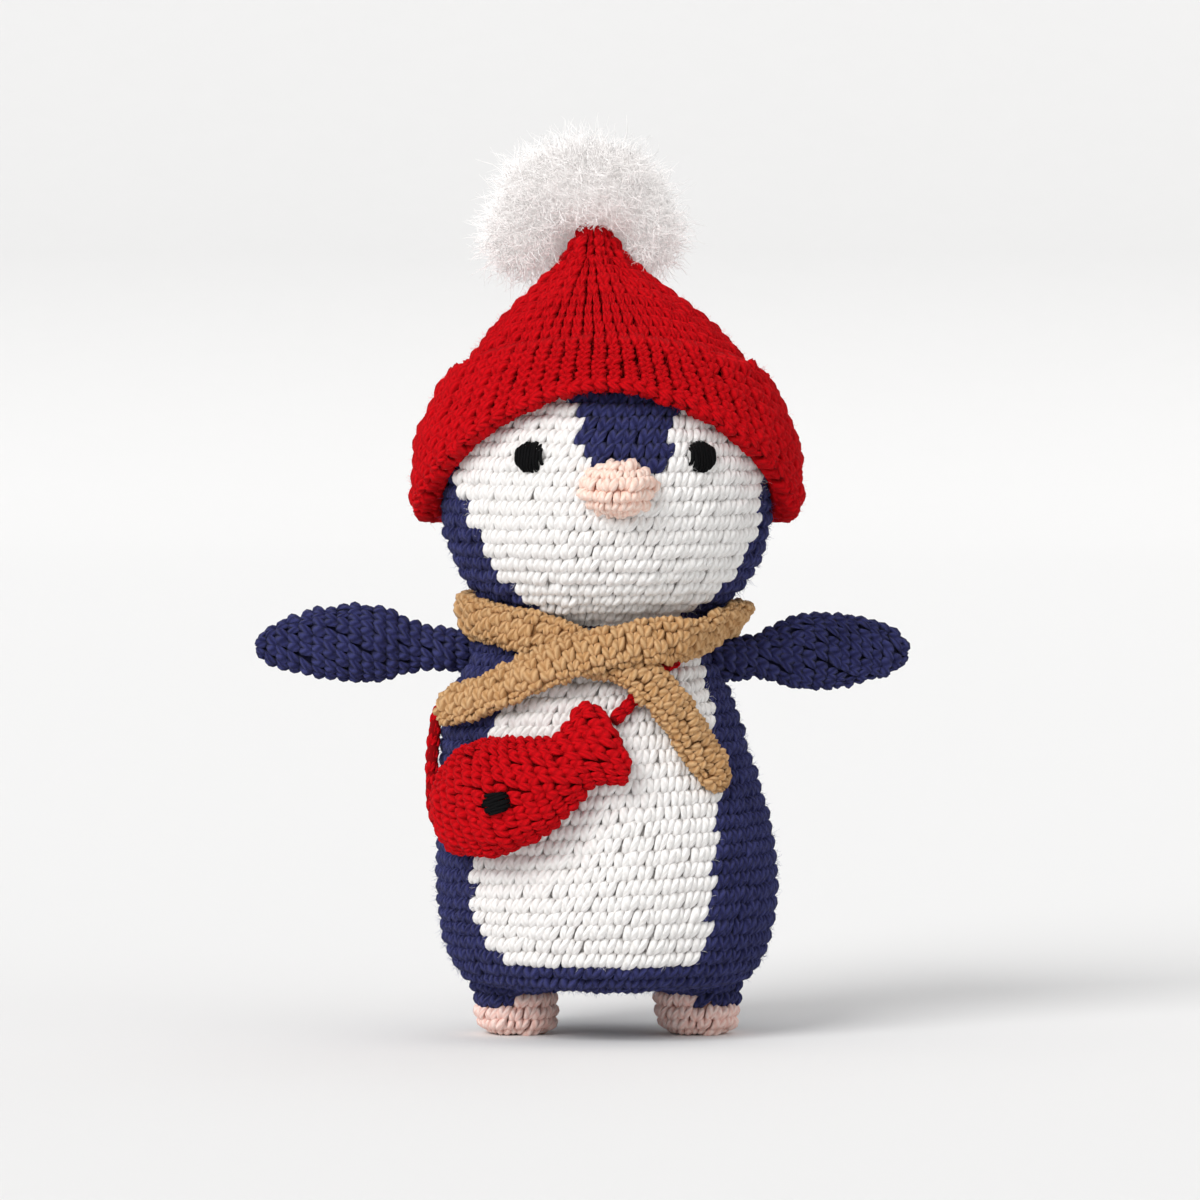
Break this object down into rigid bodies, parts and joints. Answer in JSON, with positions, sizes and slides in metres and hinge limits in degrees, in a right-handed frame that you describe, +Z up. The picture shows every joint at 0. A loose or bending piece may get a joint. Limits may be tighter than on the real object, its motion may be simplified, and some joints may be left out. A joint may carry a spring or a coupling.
{
  "type": "crocheted penguin doll",
  "caption": "Crocheted standing penguin doll with outstretched wings, folded pompom hat, crossed scarf and a fish-shaped shoulder bag.",
  "frame": {"origin": "on the floor the doll stands on, midway between the two feet", "axes": "+Z up, the face looks along -Y, +X to the viewer's right"},
  "size_m": [0.2073, 0.128, 0.2948],
  "materials": {
    "navy_yarn": "crocheted acrylic yarn, matte with a soft fuzz",
    "white_yarn": "crocheted acrylic yarn, matte",
    "pink_yarn": "crocheted acrylic yarn, matte",
    "peach_yarn": "crocheted acrylic yarn, matte",
    "red_yarn": "crocheted acrylic yarn, matte with a soft fuzz",
    "tan_yarn": "crocheted acrylic yarn, matte",
    "pompom_yarn": "cut and brushed yarn, fluffy",
    "black_floss": "satin stitches, matte",
    "fibre_fill": "loose polyester fibre"
  },
  "bodies": {
    "torso": {"torso_fabric": "navy_yarn", "belly_panel": "white_yarn", "torso_stuffing": "fibre_fill", "leg_left": "navy_yarn", "leg_right": "navy_yarn", "foot_left": "pink_yarn", "foot_right": "pink_yarn", "leg_stuffing_left": "fibre_fill", "leg_stuffing_right": "fibre_fill", "scarf_wrap": "tan_yarn", "strap": "red_yarn"},
    "head": {"head_fabric": "navy_yarn", "face_panel": "white_yarn", "head_stuffing": "fibre_fill", "beak": "peach_yarn", "beak_stuffing": "fibre_fill", "eye_left": "black_floss", "eye_right": "black_floss"},
    "hat": {"hat_crown": "red_yarn", "hat_brim": "red_yarn"},
    "hat_pompom": {"pompom": "pompom_yarn", "pompom_tie": "pompom_yarn"},
    "left_wing": {"wing_left": "navy_yarn", "wing_left_stuffing": "fibre_fill"},
    "right_wing": {"wing_right": "navy_yarn", "wing_right_stuffing": "fibre_fill"},
    "scarf_over": {"scarf_tail_over": "tan_yarn"},
    "scarf_under": {"scarf_tail_under": "tan_yarn"},
    "fish_bag": {"fish_fabric": "red_yarn", "fish_stuffing": "fibre_fill", "fish_eye": "black_floss", "strap_drop": "red_yarn"}
  },
  "joints": [
    {"name": "head_turn", "type": "hinge", "parent": "torso", "child": "head", "pos_m": [0, 0, 0.1307], "axis": [0, 0, 1], "range_deg": [-20, 20], "stiffness_Nm_per_rad": 0.15},
    {"name": "hat_lift", "type": "slide", "parent": "head", "child": "hat", "axis": [0, 0, 1], "range_m": [0, 0.08]},
    {"name": "pompom_flop", "type": "hinge", "parent": "hat", "child": "hat_pompom", "pos_m": [-0.0038, 0, 0.25679], "axis": [1, 0, 0], "range_deg": [-12, 12], "stiffness_Nm_per_rad": 0.06},
    {"name": "left_wing_flap", "type": "hinge", "parent": "torso", "child": "left_wing", "pos_m": [-0.04918, 0, 0.123], "axis": [0, 1, 0], "range_deg": [-35, 30], "stiffness_Nm_per_rad": 0.06},
    {"name": "right_wing_flap", "type": "hinge", "parent": "torso", "child": "right_wing", "pos_m": [0.0405, 0, 0.12], "axis": [0.4384, -0.8988, 0], "range_deg": [-35, 30], "stiffness_Nm_per_rad": 0.06},
    {"name": "scarf_over_lift", "type": "hinge", "parent": "torso", "child": "scarf_over", "pos_m": [-0.02317, -0.04249, 0.11903], "axis": [-0.1616, 0.4623, 0.8719], "range_deg": [0, 45]},
    {"name": "scarf_under_lift", "type": "hinge", "parent": "torso", "child": "scarf_under", "pos_m": [0.01196, -0.04355, 0.11789], "axis": [-0.5692, -0.4946, -0.6568], "range_deg": [0, 45]},
    {"name": "fish_bag_lift", "type": "slide", "parent": "torso", "child": "fish_bag", "axis": [-0.55, -0.8352, 0], "range_m": [0, 0.01]}
  ]
}
